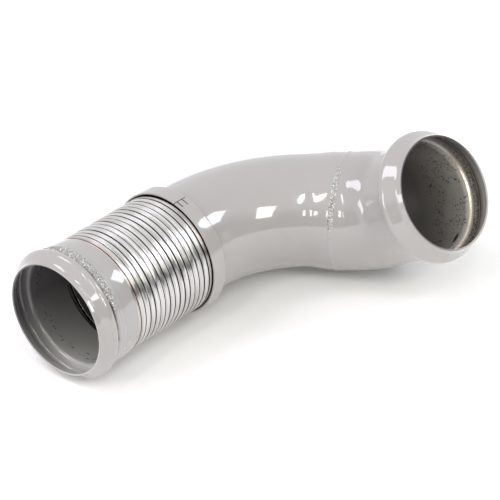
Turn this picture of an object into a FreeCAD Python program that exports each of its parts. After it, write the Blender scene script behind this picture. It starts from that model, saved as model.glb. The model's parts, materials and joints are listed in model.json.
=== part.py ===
"""Exhaust flex pipe: beaded inlet ferrule, strip-wound hose, elbow and beaded outlet stub.

Built first with the straight leg along +X and the elbow lying flat, then turned as one
assembly into the attitude in which it lies on a floor. Millimetres and degrees, +Z up.
"""
import FreeCAD, Part
import math
import os

from FreeCAD import Vector

# Tube stock
tube_diameter = 120.0
tube_wall = 2.0

# Inlet ferrule, measured from the inlet rim along the leg
ferrule_length = 70.0
inlet_lip_flare = 0.8
inlet_lip_length = 4.5
inlet_lip_rise = 2.2
inlet_bead_rise = 9.6
inlet_crest_start = 12.0
inlet_crest_end = 18.0
inlet_bead_foot = 22.5
inlet_lip_round = 6.0
inlet_front_round = 5.0
inlet_back_round = 4.5
inlet_foot_round = 2.5

# Strip-wound hose: one strip, hooked into its own last turn
hose_setback = 33.0
hose_length = 141.0
hose_height = 4.5
strip_pitch = 7.1
gap_width = 1.3
gap_depth = 1.6
gap_phase = 331.0

# Sleeve over the first turns and the fillet weld in front of it
sleeve_setback = 31.0
sleeve_length = 20.0
sleeve_wall = 1.2
weld_overlap = 3.5
weld_throat = 1.1

# Clamping collar over the last turns
collar_length = 18.7
collar_wall = 1.5
collar_gap = 1.6
collar_end_clearance = 2.0
collar_edge_round = 2.5
seam_angle = 11.6
seam_slit_width = 0.9
seam_slit_length = 16.0
tab_span = 7.0
tab_slit_width = 1.6
tab_first_slit = 3.2
tab_second_slit = 10.2

# Elbow
elbow_insertion = 24.0
elbow_lead = 19.9
elbow_bend_radius = 164.5
elbow_bend_angle = 53.0
elbow_run_out = 21.1
joint_expansion = 3.1
expansion_length = 36.0

# Girth weld between elbow and stub: its plane lies past the joint and leans on the tube
weld_offset = 7.5
weld_lean_in = -12.6
weld_lean_up = 2.5
girth_weld_width = 4.6
girth_weld_height = 0.8
girth_weld_depth = 1.1

# Outlet stub, whose rim sizes are measured from the outlet rim
stub_twist = 48.0
stub_bend_radius = 97.7
stub_bend_angle = 49.6
stub_run_out = 55.2
stub_land_length = 8.0
stub_taper_length = 34.0
outlet_lip_flare = 0.4
outlet_lip_length = 6.0
outlet_lip_rise = 2.0
outlet_bead_rise = 9.7
outlet_crest_start = 19.0
outlet_crest_end = 26.0
outlet_bead_foot = 31.5
outlet_lip_round = 10.0
outlet_front_round = 9.0
outlet_back_round = 7.0
outlet_foot_round = 3.5

# Radii and stations that follow from the sizes above
tube_radius = tube_diameter / 2
joint_radius = tube_radius + joint_expansion
hose_radius = tube_radius + hose_height
sleeve_radius = hose_radius + sleeve_wall
collar_bore = hose_radius + collar_gap
collar_radius = collar_bore + collar_wall
inlet_bead_radius = tube_radius + inlet_bead_rise
outlet_bead_radius = tube_radius + outlet_bead_rise
hose_end = hose_setback + hose_length
collar_rear = hose_end + collar_end_clearance + collar_wall
collar_front = collar_rear - collar_length
elbow_start = hose_end - elbow_insertion
bend_start = hose_end + elbow_lead

AXIS_X = Vector(1, 0, 0)
AXIS_Z = Vector(0, 0, 1)


def unit(vector):
    """The same direction with length one."""
    return vector / vector.Length


def turned(vector, axis, angle):
    """The vector turned about an axis through the origin by an angle in degrees."""
    return FreeCAD.Rotation(axis, angle).multVec(vector)


class Run:
    """One length of the centreline, straight or bent about a centre."""

    def __init__(self, start, heading, length, inward=None, radius=0.0):
        self.start = start
        self.heading = unit(heading)
        self.length = length
        self.inward = inward
        self.radius = radius
        if inward:
            self.centre = start + inward * radius
            self.axis = self.heading.cross(inward)

    def at(self, distance):
        """Point and heading at a distance from the start of the run."""
        if not self.inward:
            return self.start + self.heading * distance, self.heading
        swing = math.degrees(distance / self.radius)
        point = self.centre + turned(self.start - self.centre, self.axis, swing)
        return point, turned(self.heading, self.axis, swing)

    def solid_rod(self, radius, first, last):
        """Round rod of one radius that follows the run between two distances."""
        point, heading = self.at(first)
        disc = Part.Face(Part.Wire(Part.makeCircle(radius, point, heading)))
        if not self.inward:
            return disc.extrude(heading * (last - first))
        swing = math.degrees((last - first) / self.radius)
        return disc.revolve(self.centre, self.axis, swing)

    def ring(self, radius, distance):
        """Circle square to the run, as a wire."""
        point, heading = self.at(distance)
        return Part.Wire(Part.makeCircle(radius, point, heading))


leg_lead = Run(Vector(elbow_start, 0, 0), AXIS_X, bend_start - elbow_start)
elbow_bend = Run(
    Vector(bend_start, 0, 0),
    AXIS_X,
    elbow_bend_radius * math.radians(elbow_bend_angle),
    Vector(0, -1, 0),
    elbow_bend_radius,
)
bend_end, elbow_heading = elbow_bend.at(elbow_bend.length)
elbow_exit = Run(bend_end, elbow_heading, elbow_run_out)
joint_point, joint_heading = elbow_exit.at(elbow_run_out)
toward_bend = joint_heading.cross(AXIS_Z)
stub_inward = turned(toward_bend, joint_heading, -stub_twist)
stub_bend = Run(
    joint_point,
    joint_heading,
    stub_bend_radius * math.radians(stub_bend_angle),
    stub_inward,
    stub_bend_radius,
)
stub_bend_end, outlet_heading = stub_bend.at(stub_bend.length)
stub_exit = Run(stub_bend_end, outlet_heading, stub_run_out)
outlet_centre, _ = stub_exit.at(stub_run_out)


def rounded_path(corners):
    """Edges through (x, radius, rounding) corners, each inner corner as an arc."""
    points = [Vector(x, 0, r) for x, r, _ in corners]
    edges = []
    last = points[0]
    for before, corner, after, (_, _, rounding) in zip(
        points, points[1:], points[2:], corners[1:]
    ):
        back = unit(before - corner)
        ahead = unit(after - corner)
        turn = math.pi - back.getAngle(ahead)
        if rounding <= 0 or turn < 1e-6:
            edges.append(Part.makeLine(last, corner))
            last = corner
            continue
        reach = rounding * math.tan(turn / 2)
        middle = corner + unit(back + ahead) * rounding * (1 / math.cos(turn / 2) - 1)
        enter = corner + back * reach
        leave = corner + ahead * reach
        edges.append(Part.makeLine(last, enter))
        edges.append(Part.Arc(enter, middle, leave).toShape())
        last = leave
    edges.append(Part.makeLine(last, points[-1]))
    return edges


def inner_corners(corners, wall):
    """Corners one wall nearer to the axis, with both ends run out past the tube."""
    slopes = [
        math.atan2(after[1] - before[1], after[0] - before[0])
        for before, after in zip(corners, corners[1:])
    ]
    slopes = slopes[:1] + slopes + slopes[-1:]
    shifted = []
    for (x, r, rounding), behind, ahead in zip(corners, slopes, slopes[1:]):
        mean = (ahead + behind) / 2
        reach = wall / math.cos((ahead - behind) / 2)
        side = -wall if ahead < behind else wall
        inner_rounding = max(rounding + side, wall / 4) if rounding > 0 else 0.0
        shifted.append((x + reach * math.sin(mean), r - reach * math.cos(mean), inner_rounding))
    x, r, _ = shifted[0]
    shifted[0] = (x - 2 * wall * math.cos(slopes[0]), r - 2 * wall * math.sin(slopes[0]), 0.0)
    x, r, _ = shifted[-1]
    shifted[-1] = (x + 2 * wall * math.cos(slopes[-1]), r + 2 * wall * math.sin(slopes[-1]), 0.0)
    return shifted


def turned_rod(corners):
    """Solid bounded by the rounded outer corners, turned about the X axis."""
    first = Vector(corners[0][0], 0, 0)
    last = Vector(corners[-1][0], 0, 0)
    path = rounded_path(corners)
    front = Part.makeLine(first, Vector(corners[0][0], 0, corners[0][1]))
    rear = Part.makeLine(Vector(corners[-1][0], 0, corners[-1][1]), last)
    section = Part.Wire([front] + path + [rear, Part.makeLine(last, first)])
    return Part.Face(section).revolve(Vector(0, 0, 0), AXIS_X, 360)


def formed_tube(corners, wall):
    """Sheet of one thickness turned about the X axis, given its outer corners."""
    return turned_rod(corners).cut(turned_rod(inner_corners(corners, wall)))


def turned_ring(points):
    """Solid ring with a straight-sided (x, radius) section about the X axis."""
    outline = [Vector(x, 0, r) for x, r in points]
    section = Part.Face(Part.makePolygon(outline + outline[:1]))
    return section.revolve(Vector(0, 0, 0), AXIS_X, 360)


def one_solid(shape):
    """The single solid of a boolean result, with its faces merged."""
    clean = shape.removeSplitter()
    if len(clean.Solids) != 1:
        raise ValueError("expected one solid, found %d" % len(clean.Solids))
    return clean.Solids[0]


INLET_CORNERS = [
    (0.0, tube_radius + inlet_lip_flare, 0.0),
    (inlet_lip_length, tube_radius + inlet_lip_rise, inlet_lip_round),
    (inlet_crest_start, inlet_bead_radius, inlet_front_round),
    (inlet_crest_end, inlet_bead_radius, inlet_back_round),
    (inlet_bead_foot, tube_radius, inlet_foot_round),
    (ferrule_length, tube_radius, 0.0),
]


def inlet_ferrule():
    """Tube end with a rolled bead; its plain end is the spigot inside the hose."""
    return one_solid(formed_tube(INLET_CORNERS, tube_wall))


def front_sleeve():
    """Plain ring pressed over the first turns of the hose."""
    rear = sleeve_setback + sleeve_length
    return turned_ring(
        [
            (sleeve_setback, hose_radius),
            (sleeve_setback, sleeve_radius),
            (rear, sleeve_radius),
            (rear, hose_radius),
        ]
    )


def ferrule_weld():
    """Fillet weld that closes the gap from the back of the bead to the sleeve."""
    bead_back = (inlet_crest_end + inlet_bead_foot) / 2
    crown = (bead_back + sleeve_setback) / 2
    blank = turned_ring(
        [
            (bead_back, tube_radius),
            (bead_back, sleeve_radius + weld_throat / 2),
            (crown, sleeve_radius + weld_throat),
            (sleeve_setback, sleeve_radius + weld_throat),
            (sleeve_setback + weld_overlap, sleeve_radius),
            (sleeve_setback, sleeve_radius),
            (sleeve_setback, hose_radius),
            (hose_setback, hose_radius),
            (hose_setback, tube_radius),
        ]
    )
    return one_solid(blank.cut(turned_rod(INLET_CORNERS)))


def helical_gap():
    """Wedges, one to a turn and end to end, that open the strip's helical gap."""
    rise = gap_depth / 2
    half_width = gap_width / 2 * (gap_depth + rise) / gap_depth
    wedge = Part.makePolygon(
        [
            Vector(hose_radius + rise, 0, -half_width),
            Vector(hose_radius - gap_depth, 0, 0),
            Vector(hose_radius + rise, 0, half_width),
            Vector(hose_radius + rise, 0, -half_width),
        ]
    )
    spine = Part.makeHelix(strip_pitch, strip_pitch, hose_radius)
    sweep = Part.BRepOffsetAPI.MakePipeShell(Part.Wire(spine.Edges))
    sweep.setFrenetMode(True)
    sweep.add(wedge)
    sweep.build()
    sweep.makeSolid()
    turn = sweep.shape()
    turn.rotate(Vector(0, 0, 0), Vector(0, 1, 0), 90)
    first = hose_setback - strip_pitch * (1 + gap_phase / 360)
    turns = []
    for index in range(math.ceil(hose_length / strip_pitch) + 3):
        copy = turn.copy()
        copy.translate(Vector(first + index * strip_pitch, 0, 0))
        turns.append(copy)
    return turns


def strip_wound_hose():
    """Interlocked hose: flat crowns with an open helical gap between the turns."""
    wall = turned_ring(
        [
            (hose_setback, tube_radius),
            (hose_setback, hose_radius),
            (hose_end, hose_radius),
            (hose_end, tube_radius),
        ]
    )
    return one_solid(wall.cut(helical_gap()))


def sector(radius, front, rear, first_angle, last_angle):
    """Wedge about the X axis between two stations and two angles from +Z towards -Y."""
    outline = [Vector(front, 0, 0), Vector(rear, 0, 0), Vector(rear, 0, radius), Vector(front, 0, radius)]
    face = Part.Face(Part.makePolygon(outline + outline[:1]))
    face.rotate(Vector(0, 0, 0), AXIS_X, first_angle)
    return face.revolve(Vector(0, 0, 0), AXIS_X, last_angle - first_angle)


def rear_collar():
    """Split band with a seam, two tab slits and an inturned rear flange on the elbow tube."""
    band = formed_tube(
        [
            (collar_front, collar_radius, 0.0),
            (collar_rear, collar_radius, collar_edge_round),
            (collar_rear, tube_radius, 0.0),
        ],
        collar_wall,
    )
    band = band.cut(leg_lead.solid_rod(tube_radius, 0, leg_lead.length))
    reach = collar_radius + collar_wall
    slit_angle = math.degrees(seam_slit_width / collar_radius)
    slit_end = collar_front + seam_slit_length
    slits = [sector(reach, collar_front - collar_wall, slit_end, seam_angle, seam_angle + slit_angle)]
    for offset in (tab_first_slit, tab_second_slit):
        front = collar_front + offset
        slits.append(
            sector(reach, front, front + tab_slit_width, seam_angle, seam_angle + slit_angle + tab_span)
        )
    for slit in slits:
        band = band.cut(slit)
    return one_solid(band)


def weld_plane(side, shift=0.0):
    """Large block on one side of the girth weld's plane, shifted along its normal."""
    normal = turned(joint_heading, AXIS_Z, weld_lean_in)
    normal = turned(normal, toward_bend, weld_lean_up)
    span = 4 * joint_radius
    centre = joint_point + joint_heading * weld_offset + normal * shift
    disc = Part.Face(Part.Wire(Part.makeCircle(span, centre, normal)))
    return disc.extrude(normal * side * span)


def smooth_rise(share):
    """Smooth rise from nought to one over the expanded end of the elbow."""
    return (1 - math.cos(math.pi * share)) / 2


def grown_rod(run, first, last, radius_at, spans):
    """Rod along part of a run, lofted through rings whose radius follows a function."""
    rings = []
    for step in range(spans + 1):
        distance = first + (last - first) * step / spans
        rings.append(run.ring(radius_at(distance), distance))
    return Part.makeLoft(rings, True)


def bent_rod(inset):
    """Solid elbow and bent stub in one, with every radius reduced by the inset."""
    plain = elbow_bend.length + elbow_run_out - expansion_length
    radius = tube_radius - inset

    def on_bend(distance):
        return radius + joint_expansion * smooth_rise((distance - plain) / expansion_length)

    def on_exit(distance):
        return on_bend(elbow_bend.length + distance)

    def on_taper(distance):
        return radius + joint_expansion * (1 - smooth_rise((distance - stub_land_length) / stub_taper_length))

    taper_end = stub_land_length + stub_taper_length
    return leg_lead.solid_rod(radius, 0, leg_lead.length).fuse(
        [
            elbow_bend.solid_rod(radius, 0, plain),
            grown_rod(elbow_bend, plain, elbow_bend.length, on_bend, 4),
            grown_rod(elbow_exit, 0, elbow_run_out, on_exit, 2),
            stub_bend.solid_rod(radius + joint_expansion, 0, stub_land_length),
            grown_rod(stub_bend, stub_land_length, taper_end, on_taper, 4),
            stub_bend.solid_rod(radius, taper_end, stub_bend.length),
        ]
    )


def elbow_weld(rods):
    """Girth weld, sunk into both tube ends and standing a little proud of them."""
    bead = rods["crown"].cut(rods["root"])
    half_width = girth_weld_width / 2
    return one_solid(bead.cut(weld_plane(1, half_width)).cut(weld_plane(-1, -half_width)))


def elbow_tube(wall, weld):
    """Mandrel-bent tube, expanded towards the weld, with its spigot inside the hose."""
    return one_solid(wall.cut(weld_plane(1)).cut(weld))


def outlet_stub(wall, weld):
    """Short bent tube from the weld to the beaded outlet."""
    end = formed_tube(
        [
            (0.0, tube_radius + outlet_lip_flare, 0.0),
            (outlet_lip_length, tube_radius + outlet_lip_rise, outlet_lip_round),
            (outlet_crest_start, outlet_bead_radius, outlet_front_round),
            (outlet_crest_end, outlet_bead_radius, outlet_back_round),
            (outlet_bead_foot, tube_radius, outlet_foot_round),
            (stub_run_out, tube_radius, 0.0),
        ],
        tube_wall,
    )
    swing = FreeCAD.Rotation(AXIS_X, outlet_heading * -1)
    end = end.transformed(FreeCAD.Placement(outlet_centre, swing).toMatrix(), True)
    return one_solid(wall.cut(weld_plane(-1)).cut(weld).fuse(end))


def ring_points(centre, axis, radius, count=3600):
    """Points on a circle, used to find where the part touches the floor."""
    side = unit(axis.cross(Vector(0.31, 0.77, 0.55)))
    other = axis.cross(side)
    points = []
    for index in range(count):
        angle = 2 * math.pi * index / count
        points.append(centre + side * (radius * math.cos(angle)) + other * (radius * math.sin(angle)))
    return points


def floor_direction(weld):
    """Upward direction in which inlet bead, collar and girth weld touch one floor."""
    weld_points, _ = weld.tessellate(girth_weld_height / 40)
    rings = [
        ring_points(Vector((inlet_crest_start + inlet_crest_end) / 2, 0, 0), AXIS_X, inlet_bead_radius),
        ring_points(Vector(collar_rear - collar_edge_round, 0, 0), AXIS_X, collar_radius),
        weld_points,
    ]

    def heights(tilt):
        up = unit(Vector(tilt[0], tilt[1], 1))
        return [min(point.dot(up) for point in ring) for ring in rings]

    tilt = [0.0, 0.0]
    step = 1e-4
    for _ in range(6):
        here = heights(tilt)
        faults = [here[1] - here[0], here[2] - here[0]]
        slopes = []
        for index in range(2):
            moved = list(tilt)
            moved[index] += step
            there = heights(moved)
            slopes.append(
                [(there[1] - there[0] - faults[0]) / step, (there[2] - there[0] - faults[1]) / step]
            )
        spread = slopes[0][0] * slopes[1][1] - slopes[1][0] * slopes[0][1]
        tilt[0] -= (faults[0] * slopes[1][1] - faults[1] * slopes[1][0]) / spread
        tilt[1] -= (faults[1] * slopes[0][0] - faults[0] * slopes[0][1]) / spread
    return unit(Vector(tilt[0], tilt[1], 1))


def resting_placement(shapes, weld):
    """Placement that lays the part on the floor with its box centred on the origin."""
    up = floor_direction(weld)
    along = unit(AXIS_X - up * AXIS_X.dot(up))
    across = up.cross(along)
    matrix = FreeCAD.Matrix(
        along.x, along.y, along.z, 0,
        across.x, across.y, across.z, 0,
        up.x, up.y, up.z, 0,
        0, 0, 0, 1,
    )
    whole = Part.makeCompound([shape.transformed(matrix, True) for shape in shapes])
    box = whole.optimalBoundingBox(False, False)
    matrix.move(Vector(-(box.XMin + box.XMax) / 2, -(box.YMin + box.YMax) / 2, -box.ZMin))
    return matrix


def main():
    wall = bent_rod(0.0).cut(bent_rod(tube_wall))
    weld = elbow_weld({"crown": bent_rod(-girth_weld_height), "root": bent_rod(girth_weld_depth)})
    nodes = {
        "inlet_ferrule": inlet_ferrule(),
        "ferrule_weld": ferrule_weld(),
        "front_sleeve": front_sleeve(),
        "strip_wound_hose": strip_wound_hose(),
        "rear_collar": rear_collar(),
        "elbow_tube": elbow_tube(wall, weld),
        "elbow_weld": weld,
        "outlet_stub": outlet_stub(wall, weld),
    }
    lay_down = resting_placement(nodes.values(), weld)
    os.makedirs("parts", exist_ok=True)
    for name, shape in nodes.items():
        shape.transformed(lay_down, True).exportStep("parts/%s.step" % name)


main()
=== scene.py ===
import json
import logging
import math
from dataclasses import dataclass
from enum import Enum
from typing import Any, ClassVar, Sequence

import bmesh
import bpy
from bmesh.types import BMEdge, BMesh, BMVert
from mathutils import Matrix, Vector, kdtree, noise


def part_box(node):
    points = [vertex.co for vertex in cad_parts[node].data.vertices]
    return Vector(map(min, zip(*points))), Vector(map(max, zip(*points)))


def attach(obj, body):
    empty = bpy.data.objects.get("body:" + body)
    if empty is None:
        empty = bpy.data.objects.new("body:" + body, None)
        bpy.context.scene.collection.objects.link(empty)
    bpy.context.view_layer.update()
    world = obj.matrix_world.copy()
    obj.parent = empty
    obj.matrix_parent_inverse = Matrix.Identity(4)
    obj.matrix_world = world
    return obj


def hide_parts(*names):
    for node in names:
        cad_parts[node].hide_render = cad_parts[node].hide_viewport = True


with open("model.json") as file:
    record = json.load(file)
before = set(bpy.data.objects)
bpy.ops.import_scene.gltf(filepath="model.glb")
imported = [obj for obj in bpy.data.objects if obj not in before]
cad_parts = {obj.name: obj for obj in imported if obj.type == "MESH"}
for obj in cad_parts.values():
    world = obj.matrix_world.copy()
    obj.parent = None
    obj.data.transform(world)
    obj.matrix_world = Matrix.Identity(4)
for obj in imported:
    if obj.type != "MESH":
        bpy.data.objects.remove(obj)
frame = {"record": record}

Material, Piece = bpy.types.Material, bpy.types.Object
Tree, Socket = bpy.types.NodeTree, bpy.types.NodeSocket
Span = tuple[float, float]
Band = tuple[float, float, float]
Inputs = dict[str, Any]

# Exhaust flex pipe: the finish of every surface and the smooth, detailed meshes that stand
# for the plain solids. Sizes are in millimetres, taken along the pipe with its straight leg
# on +X, and one matrix lays each finished mesh in the frame in metres.
MM = 0.001
PAINT_IOR = 1.5
BODY = "root"
TUBE_RADIUS = 60.0
TUBE_WALL = 2.0
RIM_ROUND = 0.45
SIDES = 192
FINE_SIDES = 900
INNER = 1  # Material index of the faces inside a piece
SHARP_EDGE = math.radians(60)
SQUARE_STEP = 0.001  # Distance between two rings that stand for a step in the radius
ROUGH_SHARE = "rough_share"
# Share of painted shade in a weld's crack, kept on the mesh
CRACK_SHADE_SHARE = "crack_shade_share"


class Slot(Enum):
    """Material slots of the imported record."""

    PAINT = "grey_paint"
    WELD = "painted_weld"
    STRIP = "stainless_strip"


def linear(hex_colour: str) -> tuple[float, float, float, float]:
    """Turns an sRGB hex colour into linear red, green, blue and full alpha."""
    channels = [int(hex_colour[i:i + 2], 16) / 255 for i in (1, 3, 5)]
    red, green, blue = [
        c / 12.92 if c <= 0.04045 else ((c + 0.055) / 1.055) ** 2.4 for c in channels
    ]
    return red, green, blue, 1.0


# The line of the pipe and its place in the frame


@dataclass(frozen=True)
class Run:
    """One length of the centreline, straight when its radius is nought."""

    length: float
    radius: float = 0.0
    twist: float = 0.0

    def moved(self, distance: float) -> Matrix:
        """Movement from the start of the run to a distance along it."""
        if not self.radius:
            return Matrix.Translation((distance, 0, 0))
        lean = math.radians(self.twist)
        inward = Vector((0, -math.cos(lean), math.sin(lean)))
        centre = inward * self.radius
        swing = Matrix.Rotation(distance / self.radius, 4, Vector((1, 0, 0)).cross(inward))
        return Matrix.Translation(centre) @ swing @ Matrix.Translation(-centre)


@dataclass(frozen=True)
class PipeLine:
    """Centreline of the pipe from the inlet rim, with the leg along +X."""

    leg_length: float = 193.9
    elbow_radius: float = 164.5
    elbow_angle: float = 53.0
    elbow_run_out: float = 21.1
    stub_radius: float = 97.7
    stub_angle: float = 49.6
    stub_twist: float = 48.0
    stub_run_out: float = 55.2
    weld_offset: float = 7.5
    weld_lean_in: float = -12.6
    weld_lean_up: float = 2.5

    def runs(self) -> list[Run]:
        """The leg, the elbow, its straight end, the stub's bend and its straight end."""
        return [
            Run(self.leg_length),
            Run(self.elbow_radius * math.radians(self.elbow_angle), self.elbow_radius),
            Run(self.elbow_run_out),
            Run(self.stub_radius * math.radians(self.stub_angle), self.stub_radius, self.stub_twist),
            Run(self.stub_run_out),
        ]

    def at(self, distance: float) -> Matrix:
        """Frame at a distance from the inlet rim.

        Args:
            distance: Millimetres along the centreline, or past its ends on straight lines.

        Returns:
            Matrix whose local X is the heading and whose local Z is up on the leg.
        """
        place = Matrix.Identity(4)
        runs = self.runs()
        for run in runs[:-1]:
            if distance <= run.length:
                return place @ run.moved(distance)
            place = place @ run.moved(run.length)
            distance -= run.length
        return place @ runs[-1].moved(distance)

    @property
    def elbow_end(self) -> float:
        """Distance of the joint between elbow and stub."""
        return sum(run.length for run in self.runs()[:3])

    @property
    def length(self) -> float:
        """Distance of the outlet rim."""
        return sum(run.length for run in self.runs())

    def weld_plane(self) -> tuple[Vector, Vector]:
        """Point and normal of the plane in which the girth weld runs."""
        joint = self.at(self.elbow_end)
        lean = Matrix.Rotation(math.radians(self.weld_lean_up), 3, (0, -1, 0)) @ Matrix.Rotation(
            math.radians(self.weld_lean_in), 3, "Z"
        )
        normal = joint.to_3x3() @ (lean @ Vector((1, 0, 0)))
        return joint @ Vector((self.weld_offset, 0, 0)), normal

    def laid(self, sleeve_middle: float) -> Matrix:
        """Matrix from the leg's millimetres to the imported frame's metres.

        Args:
            sleeve_middle: Distance of the middle of the front sleeve, whose box gives the place.

        Returns:
            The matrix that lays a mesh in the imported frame.
        """
        axes = {mount["name"]: Vector(mount["axis"]) for mount in frame["record"]["mounts"]}
        packed = square_axes(-axes["inlet_bore"], axes["outlet_bore"])
        outlet_heading = self.at(self.length).to_3x3() @ Vector((1, 0, 0))
        own = square_axes(Vector((1, 0, 0)), outlet_heading)
        low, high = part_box("front_sleeve")
        turn = (packed @ own.transposed()).to_4x4()
        return (
            Matrix.Translation((low + high) / 2)
            @ turn
            @ Matrix.Scale(MM, 4)
            @ Matrix.Translation((-sleeve_middle, 0, 0))
        )


def square_axes(main: Vector, other: Vector) -> Matrix:
    """Three square axes as columns, the first along main and the second towards other."""
    first = main.normalized()
    second = (other - first * other.dot(first)).normalized()
    return Matrix((first, second, first.cross(second))).transposed()


# Mesh work


@dataclass(frozen=True)
class Ring:
    """One station of a tube: distance along the pipe, radius and rounding of the corner."""

    distance: float
    radius: float
    rounding: float = 0.0


def grown(bm: BMesh, edges: Sequence[BMEdge], move: Matrix) -> list[BMEdge]:
    """Extrudes a loop of edges, moves the new loop and returns its edges."""
    made = bmesh.ops.extrude_edge_only(bm, edges=list(edges))["geom"]
    verts = [item for item in made if isinstance(item, BMVert)]
    bmesh.ops.transform(bm, matrix=move, verts=verts)
    return [item for item in made if isinstance(item, BMEdge)]


def tube_skin(line: PipeLine, rings: Sequence[Ring], sides: int = SIDES, cuts: int = 6) -> BMesh:
    """Outer skin of a tube: one circle extruded from ring to ring, its corners then rounded.

    Args:
        line: Centreline that the rings stand square to.
        rings: Stations in order.
        sides: Sides of each ring.
        cuts: Strips in a rounded corner.

    Returns:
        The open skin.
    """
    bm = bmesh.new()
    upright = Matrix.Rotation(math.pi / 2, 4, "Y")
    start = line.at(rings[0].distance) @ upright
    bmesh.ops.create_circle(bm, segments=sides, radius=rings[0].radius, matrix=start)
    loops = [list(bm.edges)]
    for before, after in zip(rings, rings[1:]):
        step = (
            line.at(after.distance)
            @ Matrix.Scale(after.radius / before.radius, 4)
            @ line.at(before.distance).inverted()
        )
        loops.append(grown(bm, loops[-1], step))
    for index in range(1, len(rings) - 1):
        if rings[index].rounding > 0:
            round_loop(bm, loops[index], rings[index - 1:index + 2], cuts)
    bmesh.ops.recalc_face_normals(bm, faces=bm.faces)
    return bm


def round_loop(bm: BMesh, loop: Sequence[BMEdge], rings: Sequence[Ring], cuts: int) -> None:
    """Rounds one ring of edges to the radius that its station asks for."""
    before, corner, after = rings
    slope_in = math.atan2(corner.radius - before.radius, corner.distance - before.distance)
    slope_out = math.atan2(after.radius - corner.radius, after.distance - corner.distance)
    reach = corner.rounding * math.tan(abs(slope_out - slope_in) / 2)
    bevelled(bm, loop, reach, cuts, True)


def bevelled(bm: BMesh, edges: Sequence[BMEdge], offset: float, cuts: int, slide: bool) -> None:
    """Rounds edges into a number of strips; sliding keeps the new loops on the faces' sides."""
    shape = {"offset": offset, "offset_type": "OFFSET", "segments": cuts, "profile": 0.5}
    rules = {"affect": "EDGES", "clamp_overlap": True, "loop_slide": slide, "material": -1}
    bmesh.ops.bevel(bm, geom=list(edges), **shape, **rules)


def give_wall(bm: BMesh, wall: float, rim_round: float = 0.0) -> None:
    """Thickens an outward-facing open skin inwards and rounds the corners of its cut rims."""
    bmesh.ops.solidify(bm, geom=list(bm.faces), thickness=wall)
    if rim_round > 0:
        sharp = [e for e in bm.edges if e.is_manifold and e.calc_face_angle(0) > SHARP_EDGE]
        bevelled(bm, sharp, rim_round, 2, False)


def about_axis(point: Vector) -> tuple[float, float]:
    """Angle in degrees from up towards -Y, and radius, about the leg's axis."""
    return math.degrees(math.atan2(-point.y, point.z)), math.hypot(point.y, point.z)


def mark_inside(bm: BMesh, line: PipeLine, span: Span, step: float = 4.0) -> None:
    """Gives the inner material to the faces that look at the centreline.

    Args:
        bm: Closed wall.
        line: Centreline of the pipe.
        span: First and last distance of the stretch to mark.
        step: Spacing of the points taken on the centreline.
    """
    first, last = span
    count = max(2, math.ceil((last - first) / step))
    stations = kdtree.KDTree(count + 1)
    for number in range(count + 1):
        stations.insert(line.at(first + (last - first) * number / count).translation, number)
    stations.balance()
    for face in bm.faces:
        middle = face.calc_center_median()
        nearest, _, _ = stations.find(middle)
        if face.normal.dot(nearest - middle) > 0:
            face.material_index = INNER


def mesh_data(bm: BMesh, name: str, *materials: Material) -> bpy.types.Mesh:
    """Turns a mesh under work into mesh data with its materials, and frees it."""
    mesh = bpy.data.meshes.new(name)
    bm.to_mesh(mesh)
    bm.free()
    for material in materials:
        mesh.materials.append(material)
    return mesh


def placed(name: str, data: Any) -> Piece:
    """Adds an object with its data to the scene."""
    made = bpy.data.objects.new(name, data)
    bpy.context.scene.collection.objects.link(made)
    return made


def finished(
    bm: BMesh, name: str, solid: str, slot: Slot, lay: Matrix, *materials: Material
) -> None:
    """Turns a mesh under work into a piece of the pipe, laid in the frame.

    Args:
        bm: Mesh in the leg's millimetres, freed here.
        name: Name of the piece.
        solid: CAD node that the piece stands for.
        slot: Material slot of the record; not used.
        lay: Matrix that lays the mesh in the frame.
        materials: Finishes in the order of the faces' material indices.
    """
    bmesh.ops.transform(bm, matrix=lay, verts=bm.verts)
    for face in bm.faces:
        face.smooth = True
    mesh = mesh_data(bm, name, *materials)
    piece = placed(name, mesh)
    weighted = piece.modifiers.new("flat_faces_lead", "WEIGHTED_NORMAL")
    weighted.mode = "FACE_AREA"
    weighted.weight = 60
    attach(piece, BODY)
    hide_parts(solid)
    logging.info("%s: %d faces", name, len(mesh.polygons))


# Finishes


def node(tree: Tree, kind: str, inputs: dict[str | int, Any] | None = None, **settings: Any) -> Any:
    """Adds one node with its settings and links.

    Args:
        tree: Node tree to add to.
        kind: Blender's name of the node, less its first word ShaderNode.
        inputs: Socket name or number to a number, a hex colour or the output that feeds it.
        settings: Attributes of the node itself.

    Returns:
        The outputs of the new node.
    """
    made = tree.nodes.new("ShaderNode" + kind)
    for name, value in settings.items():
        setattr(made, name, value)
    for socket, value in (inputs or {}).items():
        if isinstance(value, Socket):
            tree.links.new(value, made.inputs[socket])
        else:
            made.inputs[socket].default_value = linear(value) if isinstance(value, str) else value
    return made.outputs


class Finish:
    """A finish with one shader, whose inputs each kind of finish states."""

    shader: ClassVar[str] = "BsdfPrincipled"

    def made(self, name: str) -> Material:
        """Builds the finish under a name."""
        material = bpy.data.materials.new(name)
        material.use_nodes = True
        tree = material.node_tree
        tree.nodes.clear()
        surface = node(tree, self.shader, self.inputs(tree))["BSDF"]
        node(tree, "OutputMaterial", {"Surface": surface})
        return material

    def inputs(self, tree: Tree) -> Inputs:
        """The shader's inputs, with the nodes that feed them."""
        raise NotImplementedError


def metres(span: Sequence[float]) -> list[float]:
    """Millimetres as metres."""
    return [value * MM for value in span]


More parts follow.
